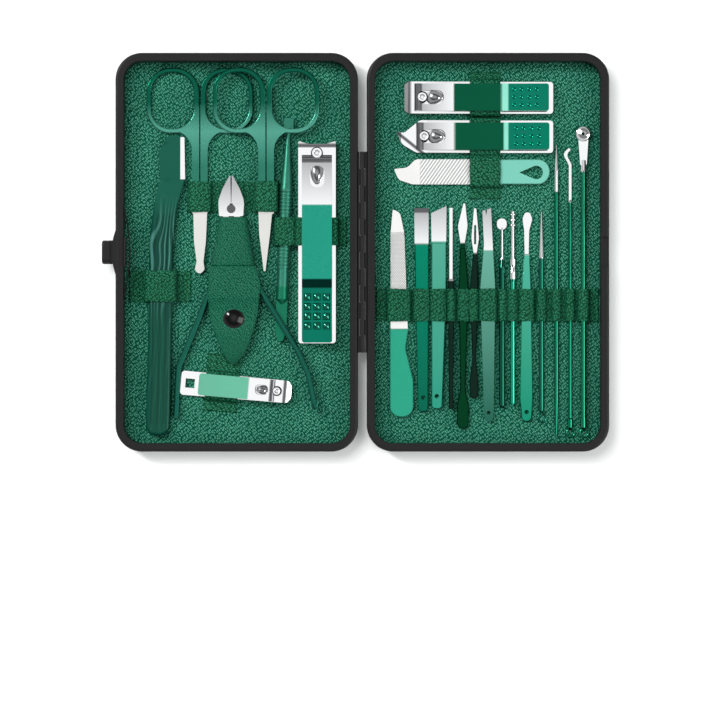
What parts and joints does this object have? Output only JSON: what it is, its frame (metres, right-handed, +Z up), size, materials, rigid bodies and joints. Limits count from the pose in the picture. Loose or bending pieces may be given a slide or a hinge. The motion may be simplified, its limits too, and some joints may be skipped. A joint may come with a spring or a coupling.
{
  "type": "manicure set case",
  "caption": "Open hinged leather case with a black metal rim, holding nail clippers, scissors, nipper, razor, files and picks in leather loops.",
  "frame": {"origin": "middle of the open case's outline, latch included, on the surface it lies on", "axes": "+X from the base half to the lid half across the hinge, +Y along the hinge towards the scissors rings, +Z up out of the open trays"},
  "size_m": [0.2092, 0.1644, 0.0134],
  "materials": {
    "leather_green": "pebbled hide over a board",
    "strap_leather": "pebbled hide strap",
    "frame_black": "satin black coat",
    "spring_black": "blackened spring steel",
    "chrome": "polished",
    "coat_teal": "metallic teal coat",
    "coat_dark": "dark green metallic coat",
    "coat_mint": "mint metallic coat",
    "grip_green": "glossy moulded grip",
    "snap_black": "glossy dome"
  },
  "bodies": {
    "base": {"base_shell": "leather_green", "base_liner": "leather_green", "razor_strap": "strap_leather", "scissors_strap": "strap_leather", "pusher_strap": "strap_leather", "small_clipper_strap": "strap_leather", "nipper_sleeve": "strap_leather", "base_frame": "frame_black", "hinge_pin": "frame_black", "latch_spring": "spring_black", "nipper_spring": "spring_black", "snap_stud": "spring_black", "razor_handle": "grip_green", "razor_blade": "chrome", "pivot_screws": "chrome", "toe_clipper_lower": "chrome", "toe_clipper_upper": "chrome", "small_clipper_lower": "chrome", "small_clipper_upper": "chrome", "base_clipper_pins": "chrome", "nose_scissors_lower": "coat_teal", "brow_scissors_lower": "coat_teal", "nipper_left": "coat_teal", "cuticle_pusher": "coat_teal"},
    "lid": {"lid_shell": "leather_green", "lid_frame": "frame_black", "lid_liner": "leather_green", "clipper_strap": "strap_leather", "tool_strap": "strap_leather", "straight_clipper_lower": "chrome", "straight_clipper_upper": "chrome", "slant_clipper_lower": "chrome", "slant_clipper_upper": "chrome", "lid_clipper_pins": "chrome", "foot_file": "coat_mint", "tweezers_lower": "coat_teal"},
    "flap": {"nipper_flap": "strap_leather", "snap_cap": "snap_black"},
    "latch": {"latch_button": "frame_black"},
    "nose_blade": {"nose_scissors_upper": "coat_teal"},
    "brow_blade": {"brow_scissors_upper": "coat_teal"},
    "nipper_grip": {"nipper_right": "coat_teal"},
    "toe_lever": {"toe_clipper_lever": "coat_teal"},
    "square_planer": {"square_planer": "coat_teal"},
    "slant_planer": {"slant_planer": "coat_teal"},
    "tweezer_arm": {"tweezers_upper": "coat_teal"},
    "ear_scoop": {"ear_scoop": "coat_teal"},
    "ear_spiral": {"ear_spiral": "coat_teal"},
    "ear_spade": {"ear_spade": "coat_teal"},
    "ring_needle": {"ring_needle": "coat_teal"},
    "ball_pick": {"ball_pick": "coat_teal"},
    "straight_lever": {"straight_clipper_lever": "coat_dark"},
    "slant_lever": {"slant_clipper_lever": "coat_dark"},
    "edge_planer": {"edge_planer": "coat_dark"},
    "cuticle_knife": {"cuticle_knife": "coat_dark"},
    "nail_cleaner": {"nail_cleaner": "coat_dark"},
    "long_needle": {"long_needle": "coat_dark"},
    "bent_needle": {"bent_needle": "coat_dark"},
    "small_lever": {"small_clipper_lever": "coat_mint"},
    "nail_file": {"nail_file": "coat_mint"}
  },
  "joints": [
    {"name": "lid_hinge", "type": "hinge", "parent": "base", "child": "lid", "pos_m": [0.0028, 0, 0.01215], "axis": [0, 1, 0], "range_deg": [-180, 0]},
    {"name": "latch_press", "type": "slide", "parent": "base", "child": "latch", "axis": [1, 0, 0], "range_m": [0, 0.0009], "stiffness_N_per_m": 1500},
    {"name": "flap_lift", "type": "hinge", "parent": "base", "child": "flap", "pos_m": [-0.0508, -0.00535, 0.0101], "axis": [-1, 0, 0], "range_deg": [0, 75]},
    {"name": "toe_lever_lift", "type": "hinge", "parent": "base", "child": "toe_lever", "pos_m": [-0.01595, 0.0386, 0.00955], "axis": [-1, 0, 0], "range_deg": [0, 70]},
    {"name": "small_lever_lift", "type": "hinge", "parent": "base", "child": "small_lever", "pos_m": [-0.03447, -0.0571, 0.00825], "axis": [0.0889, 0.996, 0], "range_deg": [0, 70]},
    {"name": "straight_lever_lift", "type": "hinge", "parent": "lid", "child": "straight_lever", "pos_m": [0.0258, 0.0641, 0.00895], "axis": [0, -1, 0], "range_deg": [0, 70]},
    {"name": "slant_lever_lift", "type": "hinge", "parent": "lid", "child": "slant_lever", "pos_m": [0.0266, 0.048, 0.00895], "axis": [0, -1, 0], "range_deg": [0, 70]},
    {"name": "nose_scissors_pivot", "type": "hinge", "parent": "base", "child": "nose_blade", "pos_m": [-0.0645, 0.022, 0.0041], "axis": [0, 0, -1], "range_deg": [0, 5]},
    {"name": "brow_scissors_pivot", "type": "hinge", "parent": "base", "child": "brow_blade", "pos_m": [-0.037, 0.02196, 0.00457], "axis": [0, 0.0523, -0.9986], "range_deg": [0, 5]},
    {"name": "nipper_squeeze", "type": "hinge", "parent": "base", "child": "nipper_grip", "pos_m": [-0.0514, 0.018, 0.00625], "axis": [0, 0, -1], "range_deg": [0, 2], "stiffness_Nm_per_rad": 8},
    {"name": "tweezers_squeeze", "type": "hinge", "parent": "lid", "child": "tweezer_arm", "pos_m": [0.0549, -0.058, 0.0045], "axis": [-1, 0, 0], "range_deg": [0, 1.7], "stiffness_Nm_per_rad": 4},
    {"name": "draw_nail_file", "type": "slide", "parent": "lid", "child": "nail_file", "axis": [0, 1, 0], "range_m": [0, 0.008]},
    {"name": "draw_square_planer", "type": "slide", "parent": "lid", "child": "square_planer", "axis": [0, 1, 0], "range_m": [0, 0.008]},
    {"name": "draw_slant_planer", "type": "slide", "parent": "lid", "child": "slant_planer", "axis": [0, 1, 0], "range_m": [0, 0.008]},
    {"name": "draw_edge_planer", "type": "slide", "parent": "lid", "child": "edge_planer", "axis": [0, 1, 0], "range_m": [0, 0.008]},
    {"name": "draw_cuticle_knife", "type": "slide", "parent": "lid", "child": "cuticle_knife", "axis": [0, 1, 0], "range_m": [0, 0.0065]},
    {"name": "draw_nail_cleaner", "type": "slide", "parent": "lid", "child": "nail_cleaner", "axis": [0, 1, 0], "range_m": [0, 0.0035]},
    {"name": "draw_ear_spade", "type": "slide", "parent": "lid", "child": "ear_spade", "axis": [0, 1, 0], "range_m": [0, 0.007]},
    {"name": "draw_ear_spiral", "type": "slide", "parent": "lid", "child": "ear_spiral", "axis": [0, 1, 0], "range_m": [0, 0.008]},
    {"name": "draw_ear_scoop", "type": "slide", "parent": "lid", "child": "ear_scoop", "axis": [0, 1, 0], "range_m": [0, 0.008]},
    {"name": "draw_ring_needle", "type": "slide", "parent": "lid", "child": "ring_needle", "axis": [0, 1, 0], "range_m": [0, 0.008]},
    {"name": "draw_long_needle", "type": "slide", "parent": "lid", "child": "long_needle", "axis": [0, 1, 0], "range_m": [0, 0.025]},
    {"name": "draw_bent_needle", "type": "slide", "parent": "lid", "child": "bent_needle", "axis": [0, 1, 0], "range_m": [0, 0.025]},
    {"name": "draw_ball_pick", "type": "slide", "parent": "lid", "child": "ball_pick", "axis": [0, 1, 0], "range_m": [0, 0.02]}
  ]
}
